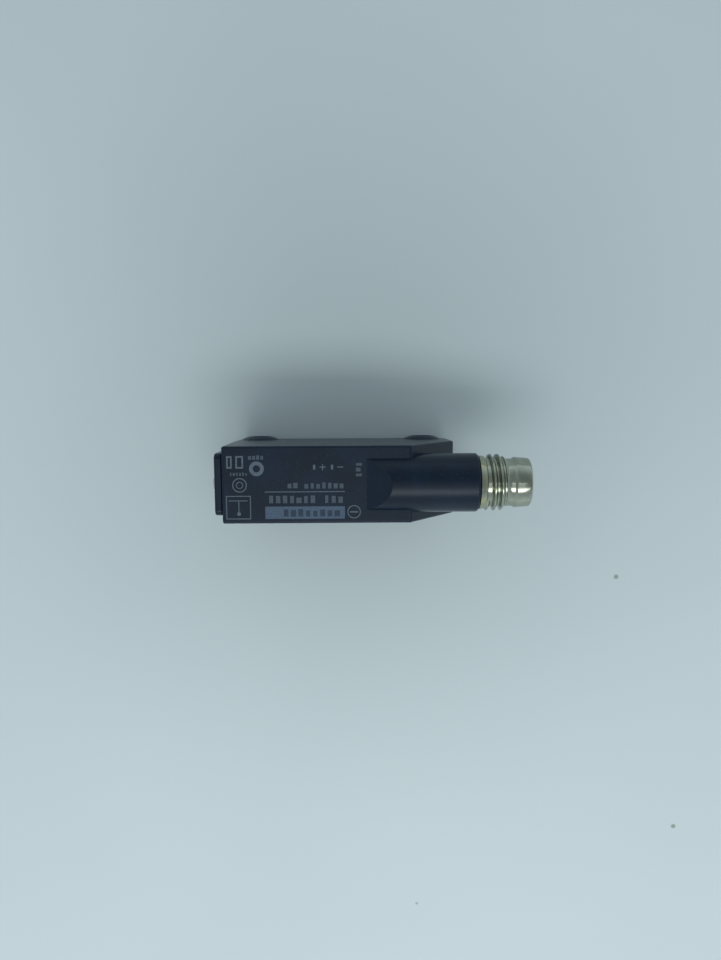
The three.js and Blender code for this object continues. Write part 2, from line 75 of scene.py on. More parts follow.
# ------------------------------------------------------------------ sizes
LENGTH, DEPTH = 32.8, 20.0
BACK_WIDTH, MID_WIDTH, FRONT_WIDTH, BOSS_WIDTH = 10.65, 10.8, 10.6, 11.6
SLOPE_X, SLOPE_END_Z = 25.9, 10.7
FRONT_CORNER_R = 2.6
EDGE_R = 0.38
HOLES = [(3.3, 3.2), (28.7, 3.2)]  # x and z of the mounting holes
HOLE_R = 1.6
AXIS = (0, 18.0)  # y and z of the connector axis
BARREL_R, BARREL_END_X = 4.08, 35.2
RAMP_X, RAMP_END_X = 19.78, 23.25  # from the back face up to the barrel's crown
WINDOW = (6.7, 25.3, -4.4, 4.4)
CAP = (-4.32, 4.32, 7.4, 19.4)
CAP_PROUD = 1.14
PIPE_R, PIPE_Z, PIPE_PROUD = 1.2, 16.4, 0.7
SEAT_GAP = 0.1  # between a fitted piece and its seat
BAY_HALF_WIDTH, BAY_LOW_Z = 3.8, 8.4  # circuit board bay
BAY_STEP_X, BAY_STEP_Z, BAY_HIGH_Z, BAY_END_X = 18.3, 16.6, 18.4, 26.8
BARREL_BORE_R, BARREL_BORE_X, WIRE_WAY_R = 3.5, 28.8, 2.6
SLEEVE_START_X, SLEEVE_END_X, SLEEVE_BORE_R = 31.5, 42.3, 2.9
THREAD_R, THREAD_ROOT_R, THREAD_PITCH = 3.94, 3.34, 1.0
THREAD_ZERO_X, FIRST_TURN = 35.9, 0.3  # the helix is counted in turns from here
THREAD_CHAMFER_X = (38.25, 39.02)  # the crest is turned away between these
CARRIER_FACE_X, PIN_R, PIN_TIP_X = 35.9, 0.5, 41.0
PIN_PLACES = [(-1.5, -0.75), (-0.9, 1.2), (1.5, -0.75), (0.9, 1.2)]


# ------------------------------------------------------------------ node trees
class Value:
    """A node's output that takes part in Python sums."""

    def __init__(self, tree, node, output):
        self.tree = tree
        self.node = node
        self.socket = node.outputs[output] if node.outputs else None

    def other(self, output):
        return Value(self.tree, self.node, output)

    def sum(self, operation, *terms):
        return self.tree.node("ShaderNodeMath", {"operation": operation}, dict(enumerate(terms)))

    def through(self, operation):
        """The result of an operation that takes this value alone."""
        return self.sum(operation, self)

    def __add__(self, term):
        return self.sum("ADD", self, term)

    def __radd__(self, term):
        return self.sum("ADD", term, self)

    def __sub__(self, term):
        return self.sum("SUBTRACT", self, term)

    def __rsub__(self, term):
        return self.sum("SUBTRACT", term, self)

    def __mul__(self, term):
        return self.sum("MULTIPLY", self, term)

    def __rmul__(self, term):
        return self.sum("MULTIPLY", term, self)

    def __truediv__(self, term):
        return self.sum("DIVIDE", self, term)

    def __rtruediv__(self, term):
        return self.sum("DIVIDE", term, self)

    def __lt__(self, term):
        return self.sum("LESS_THAN", self, term)

    def __gt__(self, term):
        return self.sum("GREATER_THAN", self, term)

    def __abs__(self):
        return self.through("ABSOLUTE")

    def __floor__(self):
        return self.through("FLOOR")

    def __round__(self):
        return self.through("ROUND")

    def least(self, term):
        return self.sum("MINIMUM", self, term)

    def most(self, term):
        return self.sum("MAXIMUM", self, term)

    def ramp(self, low, high, first=0.0, last=1.0, form="SMOOTHSTEP"):
        """From first at low to last at high, and level beyond them."""
        settings = {"interpolation_type": form, "clamp": True}
        return self.tree.node("ShaderNodeMapRange", settings, {0: self, 1: low, 2: high, 3: first, 4: last})


class Tree:
    """A node tree that one method fills."""

    def __init__(self, nodes_and_links):
        self.tree = nodes_and_links

    def node(self, kind, settings=None, sockets=None, output=0):
        made = self.tree.nodes.new(kind)
        for key, setting in (settings or {}).items():
            setattr(made, key, setting)
        for key, given in (sockets or {}).items():
            if isinstance(given, Value):
                self.tree.links.new(given.socket, made.inputs[key])
            else:
                made.inputs[key].default_value = given
        return Value(self, made, output)


class Finish(Tree):
    """A surface finish, worked out from the place on the object in millimetres."""

    def __init__(self, name):
        self.material = bpy.data.materials.new(name)
        self.material.use_nodes = True
        super().__init__(self.material.node_tree)
        self.tree.nodes.clear()
        place = self.node("ShaderNodeTexCoord", output="Object")
        self.place = self.node("ShaderNodeVectorMath", {"operation": "SCALE"}, {0: place, "Scale": 1 / MM})
        split = self.node("ShaderNodeSeparateXYZ", None, {0: self.place})
        self.x = split - END_X / MM
        self.y = split.other(1)
        self.z = split.other(2)

    def noise(self, size, detail=2.0, roughness=0.5, stretch=(1, 1, 1)):
        """A cloudy pattern from 0 to 1 whose blots are about this size."""
        place = self.node("ShaderNodeMapping", None, {0: self.place, "Scale": stretch})
        sockets = {"Vector": place, "Scale": 1 / size, "Detail": detail, "Roughness": roughness}
        return self.node("ShaderNodeTexNoise", None, sockets)

    def specks(self, size, share, seed=0.0, radius=0.25):
        """Round specks on this share of cells of this size, with this radius in cells."""
        place = self.node("ShaderNodeMapping", None, {0: self.place, "Location": (seed, seed, seed)})
        cells = self.node("ShaderNodeTexVoronoi", None, {"Vector": place, "Scale": 1 / size}, "Distance")
        pick = self.node("ShaderNodeSeparateColor", None, {0: cells.other("Color")})
        return cells.ramp(0.7 * radius, 1.3 * radius, 1, 0) * (pick < share)

    def mix(self, factor, first, second):
        return self.node("ShaderNodeMix", {"data_type": "RGBA"}, {0: factor, 6: first, 7: second}, 2)

    def bump(self, height, depth):
        """A height from 0 to 1 that stands for this many millimetres."""
        return self.node("ShaderNodeBump", None, {"Height": height, "Distance": depth * MM})

    def surface(self, sockets):
        shader = self.node("ShaderNodeBsdfPrincipled", None, sockets)
        self.node("ShaderNodeOutputMaterial", None, {"Surface": shader})
        return self.material


def paint(code):
    """A colour from its web code, in linear light."""
    parts = [int(code[i : i + 2], 16) / 255 for i in (0, 2, 4)]
    linear = [p / 12.92 if p <= 0.04045 else ((p + 0.055) / 1.055) ** 2.4 for p in parts]
    return (*linear, 1.0)


# ------------------------------------------------------------------ laser marking
def bar(f, x0, x1, y0, y1):
    """1 inside a rectangle on the back face."""
    across = abs(f.x - (x0 + x1) / 2) - (x1 - x0) / 2
    up = abs(f.y - (y0 + y1) / 2) - (y1 - y0) / 2
    return across.most(up).ramp(-0.03, 0.03, 1, 0)


def frame_line(f, x0, x1, y0, y1, line):
    """1 on the border of a rectangle, this wide."""
    return bar(f, x0, x1, y0, y1) * (1 - bar(f, x0 + line, x1 - line, y0 + line, y1 - line))


def ring(f, x, y, radius, line):
    """A ring of this line width, or a disc if the line is the radius."""
    away_x, away_y = f.x - x, f.y - y
    away = (away_x * away_x + away_y * away_y).through("SQRT")
    return (abs(away - (radius - line / 2)) - line / 2).ramp(-0.03, 0.03, 1, 0)


def block_row(f, x0, x1, y0, y1, cell, seed, upright=False):
    """A row of plain solid blocks of uneven width and height, with no shapes inside them."""
    along, across = (f.y, f.x) if upright else (f.x, f.y)
    start, base, height = (y0, x0, x1 - x0) if upright else (x0, y0, y1 - y0)
    steps = (along - start) / cell
    cell_number = math.floor(steps)
    inside = steps - cell_number
    key = f.node("ShaderNodeCombineXYZ", None, {0: cell_number, 1: seed, 2: 0.0})
    width_pick = f.node("ShaderNodeTexWhiteNoise", None, {"Vector": key}, "Value")
    other_key = f.node("ShaderNodeCombineXYZ", None, {0: cell_number, 1: seed, 2: 5.0})
    height_pick = f.node("ShaderNodeTexWhiteNoise", None, {"Vector": other_key}, "Value")
    filled = abs(inside - 0.45) < 0.22 + 0.17 * width_pick
    tall = (across - base) / height < 0.66 + 0.45 * height_pick
    return bar(f, x0, x1, y0, y1) * filled * tall * (height_pick > 0.13) * 0.62


def marking(f):
    """The pale laser marks on the back face: plain shapes only."""
    marks = [
        frame_line(f, 0.55, 3.95, -4.7, -1.45, 0.13),
        bar(f, 0.95, 3.5, -2.2, -2.08),
        bar(f, 2.24, 2.36, -4.0, -2.2),
        ring(f, 2.3, -3.95, 0.26, 0.26),
        ring(f, 2.45, 0.0, 1.0, 0.14),
        ring(f, 2.45, 0.0, 0.5, 0.12),
        ring(f, 4.8, 2.25, 1.0, 0.5),
        frame_line(f, 0.7, 1.45, 2.3, 4.0, 0.22),
        frame_line(f, 1.95, 3.0, 2.3, 4.0, 0.22),
        block_row(f, 3.65, 5.85, 3.5, 4.1, 0.55, 1.3),
        block_row(f, 1.1, 3.6, 1.3, 1.75, 0.42, 2.7),
        bar(f, 12.5, 12.8, 2.1, 2.75),
        bar(f, 13.4, 14.2, 2.36, 2.5),
        bar(f, 13.73, 13.87, 2.0, 2.8),
        bar(f, 14.95, 15.25, 2.1, 2.75),
        bar(f, 15.8, 16.6, 2.36, 2.5),
        block_row(f, 8.9, 10.5, -0.45, 0.3, 0.8, 3.9),
        block_row(f, 11.2, 16.8, -0.5, 0.35, 0.8, 4.1),
        bar(f, 5.9, 16.8, -1.0, -0.88),
        block_row(f, 6.3, 16.75, -2.5, -1.45, 0.95, 5.6),
        ring(f, 18.06, -3.74, 0.92, 0.13),
        bar(f, 17.5, 18.6, -3.85, -3.65),
        block_row(f, 18.35, 19.15, 0.3, 4.1, 0.72, 6.2, upright=True),
    ]
    lines = marks[0]
    for mark in marks[1:]:
        lines = lines.most(mark)
    blocks = block_row(f, 7.3, 16.2, -4.35, -3.3, 1.0, 7.4)
    plate = bar(f, 5.9, 16.8, -4.67, -2.96) * (1 - 1.1 * blocks)
    return lines, plate


# ------------------------------------------------------------------ finishes
def housing_plastic():
    f = Finish("spark_eroded_black_plastic")
    on_back = f.z > DEPTH - 0.05
    grain = f.noise(0.11, 3.0, 0.65)
    coarse = f.noise(0.35, 2.0)
    cloud = f.noise(5.0, 2.0)
    # Painted glints: warm pale specks mixed into the back face's colour stand in for lamp glare sparkling on
    # the grain.
    painted_glints = f.specks(0.16, 0.10)
    base = f.mix(cloud.ramp(0.3, 0.7), paint("07182a"), paint("0c2034"))
    base = f.mix(painted_glints * on_back * 0.3, base, paint("75745f"))
    lines, plate = marking(f)
    worn = grain.ramp(0.32, 0.6, 0.45, 1.0)
    base = f.mix(lines * worn * on_back * 0.42, base, paint("9aaab4"))
    base = f.mix(plate * worn * on_back * 0.46, base, paint("7c93ae"))
    rough = 0.17 + 0.1 * on_back + 0.12 * grain + 0.04 * coarse
    normal = f.bump(grain * (0.3 + 0.7 * on_back) + coarse * 0.3, 0.0045)
    return f.surface({"Base Color": base, "Roughness": rough, "Normal": normal, "IOR": 1.35})


def cap_plastic():
    f = Finish("satin_black_cap_plastic")
    grain = f.noise(0.09, 2.0, 0.6)
    cloud = f.noise(3.0, 2.0)
    base = f.mix(cloud.ramp(0.3, 0.7), paint("07182a"), paint("0c2034"))
    return f.surface(
        {"Base Color": base, "Roughness": 0.27 + 0.1 * grain, "Normal": f.bump(grain, 0.003), "IOR": 1.36}
    )


def nickel():
    f = Finish("turned_nickel_plating")
    tool_marks = f.noise(0.035, 2.0, 0.5, (1, 0.02, 0.02))
    patches = f.noise(1.4, 2.0, 0.5)
    base = f.mix(patches.ramp(0.3, 0.7), paint("9da091"), paint("abad9f"))
    brassy = f.x.ramp(35.6, 36.6, 1, 0) * patches.ramp(0.45, 0.6)
    base = f.mix(brassy * 0.5, base, paint("b5a468"))
    rough = 0.14 + 0.05 * patches + 0.05 * tool_marks
    return f.surface(
        {"Base Color": base, "Metallic": 1.0, "Roughness": rough, "Normal": f.bump(tool_marks, 0.0015)}
    )


def plain_metal(name, light, dark, roughness):
    f = Finish(name)
    patches = f.noise(0.5, 3.0, 0.6)
    base = f.mix(patches.ramp(0.3, 0.7), paint(dark), paint(light))
    rough = roughness + 0.08 * patches
    return f.surface(
        {"Base Color": base, "Metallic": 1.0, "Roughness": rough, "Normal": f.bump(f.noise(0.06), 0.002)}
    )


def moulded(name, light, dark, roughness, grain_size=0.12, grain_depth=0.004):
    f = Finish(name)
    grain = f.noise(grain_size, 3.0, 0.6)
    cloud = f.noise(grain_size * 12, 2.0)
    base = f.mix(cloud.ramp(0.3, 0.7), paint(dark), paint(light))
    rough = roughness - 0.04 + 0.1 * grain
    return f.surface({"Base Color": base, "Roughness": rough, "Normal": f.bump(grain, grain_depth)})


def see_through(name, light, dark, roughness, clear):
    f = Finish(name)
    cloud = f.noise(0.8, 2.0)
    base = f.mix(cloud.ramp(0.3, 0.7), paint(dark), paint(light))
    rough = roughness + 0.05 * f.noise(0.2)
    return f.surface(
        {
            "Base Color": base,
            "Roughness": rough,
            "Normal": f.bump(cloud, 0.004),
            "Transmission Weight": clear,
            "IOR": 1.49,
        }
    )


def window_plastic():
    f = Finish("smoked_window_plastic")
    cloud = f.noise(4.0, 2.0)
    hairlines = f.noise(0.05, 2.0, 0.5, (0.05, 1, 1)).ramp(0.66, 0.74)
    base = f.mix(cloud.ramp(0.3, 0.7), paint("19060a"), paint("260a10"))
    rough = 0.07 + 0.05 * cloud + 0.12 * hairlines
    return f.surface(
        {
            "Base Color": base,
            "Roughness": rough,
            "Normal": f.bump(cloud, 0.01),
            "Coat Weight": 0.4,
            "Coat Roughness": 0.05,
            "IOR": 1.49,
        }
    )


def board_laminate():
    f = Finish("solder_masked_laminate")
    threads = 2.2 * math.pi
    weave_x = (f.x * threads).through("SINE")
    weave_z = (f.z * threads).through("SINE")
    weave = weave_x * weave_z * 0.5 + 0.5
    tracks = (abs((f.z / 1.3).through("FRACT") - 0.5) < 0.14) * (f.noise(3.5) > 0.48)
    base = f.mix(tracks * 0.6, f.mix(weave, paint("1b5234"), paint("205c3c")), paint("2f7a4e"))
    normal = f.bump(weave * 0.3 + tracks, 0.02)
    return f.surface({"Base Color": base, "Roughness": 0.34 + 0.1 * f.noise(0.4), "Normal": normal})


FINISHES = {
    "black_pbt": housing_plastic(),
    "smoked_window": window_plastic(),
    "clear_plastic": see_through("clear_moulding", "e6edeb", "d9e2e0", 0.06, 0.85),
    "lamp_plastic": see_through("milky_lamp_plastic", "cfd3c4", "b9bfb1", 0.22, 0.3),
    "black_rubber": moulded("matt_black_rubber", "1d1f23", "131418", 0.8, 0.08, 0.006),
    "carrier_plastic": moulded("satin_black_insulator", "25292f", "1a1d22", 0.48),
    "nickel_plated_brass": nickel(),
    "gold_plated_contact": plain_metal("gold_plating", "dcb365", "c89b4c", 0.2),
    "tinned_lead": plain_metal("tin_plating", "cfd1d2", "b4b6b8", 0.3),
    "green_laminate": board_laminate(),
    "chip_epoxy": moulded("chip_epoxy", "242427", "19191b", 0.5, 0.05),
    "tantalum_case": moulded("ochre_case", "d39535", "bd8226", 0.45),
    "ceramic": moulded("fired_ceramic", "b39a78", "9b8463", 0.5, 0.06),
    "resistor_glaze": moulded("resistor_glaze", "26262b", "1a1a1d", 0.3, 0.2),
    "brown_insulation": moulded("brown_insulation", "75472a", "613a20", 0.42),
    "blue_insulation": moulded("blue_insulation", "2d5499", "234585", 0.42),
}
CAP_FINISH = cap_plastic()


# ------------------------------------------------------------------ making meshes
PLACES = {
    "x": lambda a, b, along: (along, a, b),
    "y": lambda a, b, along: (a, along, b),
    "z": lambda a, b, along: (a, b, along),
}


def solid(name, vertices, faces):
    """A closed mesh object whose faces point outwards."""
    mesh = bpy.data.meshes.new(name)
    mesh.from_pydata(vertices, [], faces)
    work = bmesh.new()
    work.from_mesh(mesh)
    bmesh.ops.remove_doubles(work, verts=work.verts, dist=1e-5)
    bmesh.ops.recalc_face_normals(work, faces=work.faces)
    work.to_mesh(mesh)
    work.free()
    piece = bpy.data.objects.new(name, mesh)
    scene.collection.objects.link(piece)
    return piece


def rounded(corners, steps=6):
    """An outline through corners (a, b, radius), with an arc of this many steps at each."""
    points = []
    for i, (a, b, radius) in enumerate(corners):
        here = Vector((a, b))
        if not radius:
            points.append(here)
            continue
        before = (Vector(corners[i - 1][:2]) - here).normalized()
        after = (Vector(corners[(i + 1) % len(corners)][:2]) - here).normalized()
        half = before.angle(after) / 2
        centre = here + (before + after).normalized() * (radius / math.sin(half))
        start = here + before * (radius / math.tan(half)) - centre
        end = here + after * (radius / math.tan(half)) - centre
        sweep = -start.angle_signed(end)
        points += [centre + Matrix.Rotation(sweep * k / steps, 2) @ start for k in range(steps + 1)]
    return points


def rectangle(a0, a1, b0, b1, radius=0.0, steps=6):
    return rounded([(a0, b0, radius), (a1, b0, radius), (a1, b1, radius), (a0, b1, radius)], steps)


def prism(name, outline, axis, low, high):
    """An outline carried along an axis: (x, y) along z, (x, z) along y, or (y, z) along x."""
    count = len(outline)
    vertices = [PLACES[axis](a, b, along) for along in (low, high) for a, b in outline]
    sides = [(i, (i + 1) % count, (i + 1) % count + count, i + count) for i in range(count)]
    return solid(name, vertices, [tuple(range(count)), tuple(range(count, 2 * count)), *sides])


def turned(name, profile, axis="x", centre=AXIS, segments=96):
    """A turned solid. Its profile of (radius, place) starts and ends on the axis or closes on itself."""
    closed = profile[0] == profile[-1]
    vertices, rings = [], []
    for radius, along in profile[: len(profile) - closed]:
        count = segments if radius else 1
        rings.append([len(vertices) + k % count for k in range(segments)])
        for k in range(count):
            angle = 2 * math.pi * k / segments
            a, b = centre[0] + radius * math.cos(angle), centre[1] + radius * math.sin(angle)
            vertices.append(PLACES[axis](a, b, along))
    faces = []
    for lower, upper in zip(rings, rings[1:] + (rings[:1] if closed else [])):
        for k in range(segments):
            j = (k + 1) % segments
            face = list(dict.fromkeys((lower[k], lower[j], upper[j], upper[k])))
            if len(face) > 2:
                faces.append(face)
    return solid(name, vertices, faces)


def rod(radius, low, high, axis="x", centre=AXIS, segments=64):
    return turned("tool", [(0, low), (radius, low), (radius, high), (0, high)], axis, centre, segments)


def corner(radius, place, reach, steps=4):
    """Profile points that round the edge of a turned piece: from its wall at radius to its end at place."""
    points = []
    for k in range(steps + 1):
        angle = math.pi / 2 * k / steps
        wide = radius - abs(reach) * (1 - math.cos(angle))
        points.append((wide, place - reach * (1 - math.sin(angle))))
    return points


def dome(radius, base, tip, steps=12):
    angles = [math.pi / 2 * k / steps for k in range(1, steps)]
    return [(radius * math.cos(a), base + (tip - base) * math.sin(a)) for a in angles] + [(0, tip)]


def settle(piece):
    """Turns what the modifiers show into the piece's own mesh."""
    graph = bpy.context.evaluated_depsgraph_get()
    shown = bpy.data.meshes.new_from_object(piece.evaluated_get(graph))
    piece.modifiers.clear()
    piece.data = shown


def carve(piece, operation, *tools):
    """Joins tools to a piece, cuts them from it, or keeps what they share."""
    for tool in tools:
        step = piece.modifiers.new(operation, "BOOLEAN")
        step.operation = operation
        step.solver = "EXACT"
        step.object = tool
    settle(piece)
    for tool in tools:
        bpy.data.objects.remove(tool)
    return piece


def ease(piece, width, segments=3, angle=30):
    """Rounds the edges sharper than this angle."""
    bevel = piece.modifiers.new("ease", "BEVEL")
    bevel.width = width
    bevel.segments = segments
    bevel.limit_method = "ANGLE"
    bevel.angle_limit = math.radians(angle)
    settle(piece)
    return piece


def grow(piece, tree_name, inputs, build):
    """Runs a geometry node tree on a piece and keeps the result as its mesh.

    inputs maps each input's name to (socket type, value). build gets the tree and its inputs, and
    returns the finished geometry before its instances are made real and get their material.
    """
    group = bpy.data.node_groups.new(tree_name, "GeometryNodeTree")
    group.interface.new_socket("Geometry", in_out="INPUT", socket_type="NodeSocketGeometry")
    group.interface.new_socket("Geometry", in_out="OUTPUT", socket_type="NodeSocketGeometry")
    sockets = {
        name: group.interface.new_socket(name, in_out="INPUT", socket_type=kind)
        for name, (kind, _) in inputs.items()
    }
    tree = Tree(group)
    start = tree.node("NodeGroupInput")
    shape = build(tree, start.other("Geometry"), {name: start.other(name) for name in inputs})
    real = tree.node("GeometryNodeRealizeInstances", None, {0: shape})
    coated = tree.node("GeometryNodeSetMaterial", None, {0: real, "Material": start.other("Material")})
    end = group.nodes.new("NodeGroupOutput")
    group.links.new(coated.socket, end.inputs[0])
    modifier = piece.modifiers.new(tree_name, "NODES")
    modifier.node_group = group
    for name, (_, value) in inputs.items():
        modifier[sockets[name].identifier] = value
    settle(piece)
    return piece


def keep(piece, slot, *nodes, finish=None, smooth=35):
    """Brings a piece to metres, shades it, ties it to its body and hides the solids it stands for."""
    mesh = piece.data
    mesh.transform(TO_METRES)
    mesh.shade_smooth()
    mesh.set_sharp_from_angle(angle=math.radians(smooth))
    even = piece.modifiers.new("even_shading", "WEIGHTED_NORMAL")
    even.keep_sharp = True
    settle(piece)
    piece.data.materials.clear()
    piece.data.materials.append(finish or FINISHES[slot])
    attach(piece, "root")
    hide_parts(*nodes)
    return piece


# ------------------------------------------------------------------ housing
def boss(x, z, side):
    """The raised ring round a mounting hole."""
    wall, top = FRONT_WIDTH / 2, BOSS_WIDTH / 2
    profile = [
        (0, wall - 0.5),
        (3.0, wall - 0.5),
        (3.0, wall + 0.02),
        (2.9, wall + 0.09),
        (2.5, wall + 0.27),
        (2.25, top - 0.13),
        (2.05, top - 0.04),
        (1.85, top),
        (0, top),
    ]
    return turned("boss", [(r, along * side) for r, along in profile], "y", (x, z), 72)


def screw_hole(x, z):
    top = BOSS_WIDTH / 2
    half = [(HOLE_R, top - 0.16), (HOLE_R + 0.16, top), (HOLE_R + 0.16, top + 1), (0, top + 1)]
    profile = [(r, -along) for r, along in reversed(half)] + half
    return turned("screw_hole", profile, "y", (x, z), 72)


def housing():
    side = rounded(
        [
            (0, 0, FRONT_CORNER_R),
            (LENGTH, 0, FRONT_CORNER_R),
            (LENGTH, SLOPE_END_Z, 0),
            (SLOPE_X, DEPTH, 0),
            (0, DEPTH, 0),
        ],
        10,
    )
    half = [(FRONT_WIDTH / 2, 0), (MID_WIDTH / 2, DEPTH / 2), (BACK_WIDTH / 2, DEPTH)]
    end = half + [(-y, z) for y, z in reversed(half)]
    body = prism("housing_shell", side, "y", -9, 9)
    carve(body, "INTERSECT", prism("tool", end, "x", -1, LENGTH + 1))
    ease(body, EDGE_R, 4)

    crown = AXIS[1] + BARREL_R
    profile = [(0, RAMP_X), (BARREL_R, RAMP_X), *corner(BARREL_R, BARREL_END_X, 0.36), (0, BARREL_END_X)]
    barrel = turned("barrel", profile, segments=144)
    above_ramp = [
        (RAMP_X - 1, DEPTH),
        (RAMP_X, DEPTH),
        (RAMP_END_X, crown),
        (RAMP_END_X, crown + 1),
        (RAMP_X - 1, crown + 1),
    ]
    carve(barrel, "DIFFERENCE", prism("tool", above_ramp, "y", -5, 5))
    bosses = [boss(x, z, side) for x, z in HOLES for side in (1, -1)]
    carve(body, "UNION", barrel, *bosses)
    ease(body, 0.07, 2, 24)

    x0, x1, y0, y1 = WINDOW
    seat = rectangle(x0 - SEAT_GAP, x1 + SEAT_GAP, y0 - SEAT_GAP, y1 + SEAT_GAP, 0.8)
    lens_well = rectangle(7.2, 24.8, -4, 4)
    low_bay = rectangle(-BAY_HALF_WIDTH, BAY_HALF_WIDTH, BAY_LOW_Z, BAY_STEP_Z, 0.5)
    high_bay = rectangle(-BAY_HALF_WIDTH, BAY_HALF_WIDTH, BAY_LOW_Z - 0.1, BAY_HIGH_Z, 0.5)
    seal_seat = rectangle(-4.1, 4.1, 7.9, 18.9, 0.6)
    past_end = BARREL_END_X + 1.3
    flare = [
        (3.85, past_end),
        (3.85, BARREL_END_X),
        (3.6, BARREL_END_X - 0.12),
        (BARREL_BORE_R, BARREL_END_X - 0.25),
    ]
    carve(
        body,
        "DIFFERENCE",
        *[screw_hole(x, z) for x, z in HOLES],
        prism("tool", seat, "z", -1, 1.9),
        prism("tool", lens_well, "z", 1, 8.9),
        prism("tool", low_bay, "x", -1, BAY_END_X),
        prism("tool", high_bay, "x", -1.1, BAY_STEP_X),
        prism("tool", seal_seat, "x", -1.2, 0.6),
        turned("tool", [(0, past_end), *flare, (BARREL_BORE_R, BARREL_BORE_X), (0, BARREL_BORE_X)]),
        rod(WIRE_WAY_R, BAY_END_X - 3, BARREL_BORE_X + 0.5),
    )
    return keep(body, "black_pbt", "housing")


# ------------------------------------------------------------------ optics and indicator
def front_window():
    x0, x1, y0, y1 = WINDOW
    plate = prism("front_window_pane", rectangle(x0, x1, y0, y1, 0.7), "z", 0.3, 1.45)
    raised = rectangle(x0 + 0.5, x1 - 0.5, y0 + 0.5, y1 - 0.5, 0.5)
    carve(plate, "UNION", prism("tool", raised, "z", 0.1, 0.6))
    return keep(ease(plate, 0.08, 2), "smoked_window", "front_window")


def end_cap():
    y0, y1, z0, z1 = CAP
    plate = prism("end_cap_cover", rectangle(y0, y1, z0, z1, 0.8, 8), "x", -CAP_PROUD, -0.05)
    ease(plate, 0.26, 4)
    carve(plate, "UNION", prism("tool", rectangle(-3.6, 3.6, 8.6, 18.2, 0.4), "x", -0.4, 1.25))
    hole_r = PIPE_R + SEAT_GAP
    hole = [(0, 3), (hole_r, 3), (hole_r, 0.12 - CAP_PROUD), (PIPE_R + 0.24, -CAP_PROUD - 0.02)]
    pipe_hole = turned("tool", [*hole, (PIPE_R + 0.24, -3), (0, -3)], centre=(0, PIPE_Z), segments=64)
    hollow = prism("tool", rectangle(-2.9, 2.9, 9.3, 14.6, 0.3), "x", 0.3, 2)
    carve(plate, "DIFFERENCE", pipe_hole, hollow)
    return keep(plate, "black_pbt", "end_cap", finish=CAP_FINISH)


def light_pipe():
    base = -CAP_PROUD - 0.05
    stem = [(0, 1.35), (0.86, 1.35), (0.9, 1.3), (0.9, 0.45), (1.14, 0.22), (PIPE_R, 0.16), (PIPE_R, base)]
    profile = [*stem, *dome(PIPE_R, base, -CAP_PROUD - PIPE_PROUD)]
    pipe = turned("light_pipe_dome", profile, centre=(0, PIPE_Z), segments=64)
    return keep(pipe, "lamp_plastic", "light_pipe")


# ------------------------------------------------------------------ connector
def thread(tree, shape, given):
    """Lifts a turned sleeve's outer wall into a right-handed helix."""
    place = tree.node("GeometryNodeInputPosition")
    x = tree.node("ShaderNodeSeparateXYZ", None, {0: place})
    y = x.other(1) - given["Axis y"]
    z = x.other(2) - given["Axis z"]
    radius = (y * y + z * z).through("SQRT")
    angle = y.sum("ARCTAN2", z, y) / (2 * math.pi)
    travel = (x - given["Zero x"]) / given["Pitch"] - angle
    nearest = round(travel)
    off_crest = abs(travel - nearest)
    started = (nearest + angle - given["First turn"]).ramp(0, 0.22)
    depth = given["Crest radius"] - given["Root radius"]
    ridge = given["Root radius"] + depth * off_crest.ramp(0.05, 0.44, 1, 0) * started
    cone = given["Crest radius"] - depth * x.ramp(
        given["Chamfer from"], given["Chamfer to"], 0, 1, "LINEAR"
    )
    threaded = radius.most(ridge.least(cone.most(radius)))
    outer = (radius > given["Root radius"] - 0.05) * (x < given["Chamfer to"]) * (x > given["Zero x"])
    swell = 1 + outer * (threaded / radius - 1)
    moved = tree.node(
        "ShaderNodeCombineXYZ",
        None,
        {0: x, 1: given["Axis y"] + y * swell, 2: given["Axis z"] + z * swell},
    )
    return tree.node("GeometryNodeSetPosition", None, {0: shape, "Position": moved})


def connector_sleeve():
    bore = SLEEVE_BORE_R
    neck_x = BARREL_END_X + 0.04
    neck = [(3.4, neck_x), (3.73, neck_x), (3.79, neck_x + 0.06), (3.66, 36.03), (3.62, 36.1), (3.38, 36.22)]
    fine = [(THREAD_ROOT_R, 36.25 + 0.03 * k) for k in range(92)]
    groove = [(3.34, 39.01), (3.32, 39.07), (3.32, 39.9), (3.34, 39.96), (3.49, 40.21), (3.51, 40.28)]
    collar = [(3.38, 42.02), (3.36, 42.12), (3.3, 42.24), (3.22, SLEEVE_END_X)]
    mouth = [(bore + 0.1, SLEEVE_END_X), (bore + 0.03, SLEEVE_END_X - 0.04), (bore, SLEEVE_END_X - 0.12)]
    start = SLEEVE_START_X
    hidden = [(bore, start), (3.4, start), (3.4, 33.4), (3.2, 33.6), (3.2, 34.4), (3.4, 34.6)]
    profile = [*hidden, *neck, *fine, *groove, *collar, *mouth, (bore, start)]
    sleeve = turned("threaded_sleeve", profile, segments=180)
    inputs = {
        "Pitch": ("NodeSocketFloat", THREAD_PITCH),
        "Crest radius": ("NodeSocketFloat", THREAD_R),
        "Root radius": ("NodeSocketFloat", THREAD_ROOT_R),
        "Zero x": ("NodeSocketFloat", THREAD_ZERO_X),
        "First turn": ("NodeSocketFloat", FIRST_TURN),
        "Chamfer from": ("NodeSocketFloat", THREAD_CHAMFER_X[0]),
        "Chamfer to": ("NodeSocketFloat", THREAD_CHAMFER_X[1]),
        "Axis y": ("NodeSocketFloat", AXIS[0]),
        "Axis z": ("NodeSocketFloat", AXIS[1]),
        "Material": ("NodeSocketMaterial", FINISHES["nickel_plated_brass"]),
    }
    grow(sleeve, "helical_thread", inputs, thread)
    return keep(sleeve, "nickel_plated_brass", "connector_shell", smooth=50)


